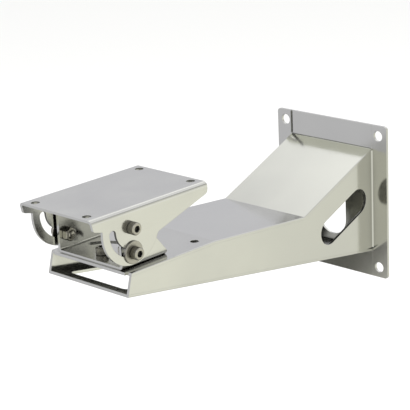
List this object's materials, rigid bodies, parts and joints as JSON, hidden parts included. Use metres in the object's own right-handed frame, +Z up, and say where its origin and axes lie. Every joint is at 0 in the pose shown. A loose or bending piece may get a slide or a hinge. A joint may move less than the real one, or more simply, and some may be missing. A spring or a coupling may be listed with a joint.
{
  "type": "camera wall bracket",
  "caption": "Wall bracket for a security camera: a tapered box arm of welded steel sheet with wall flange, cable openings and a clamped pan and tilt head.",
  "frame": {"origin": "centre of the four wall bolt holes, on the wall plane", "axes": "+Y into the wall, so the arm reaches towards -Y; +Z up; +X to the right seen from in front of the wall"},
  "size_m": [0.16, 0.4242, 0.18],
  "materials": {
    "sheet": "bright stainless sheet, almost mirror smooth",
    "fastener": "plain stainless fasteners"
  },
  "bodies": {
    "arm": {"back_plate": "sheet", "bottom_cover": "sheet", "pan_lock_nut": "fastener", "pan_lock_screw": "fastener", "pan_nut": "fastener", "pan_screw": "fastener", "side_wall_left": "sheet", "side_wall_right": "sheet", "top_strip": "sheet"},
    "pan": {"pan_bracket": "sheet", "lock_nut_left": "fastener", "lock_nut_right": "fastener", "lock_screw_left": "fastener", "lock_screw_right": "fastener", "pivot_nut_left": "fastener", "pivot_nut_right": "fastener", "pivot_screw_left": "fastener", "pivot_screw_right": "fastener"},
    "tilt": {"tilt_bracket": "sheet"}
  },
  "joints": [
    {"name": "pan_hinge", "type": "hinge", "parent": "arm", "child": "pan", "pos_m": [0, -0.3655, 0.0246], "axis": [0, 0, 1], "range_deg": [-60, 60]},
    {"name": "tilt_hinge", "type": "hinge", "parent": "pan", "child": "tilt", "pos_m": [0, -0.3722, 0.0677], "axis": [1, 0, 0], "range_deg": [-15, 65]}
  ]
}
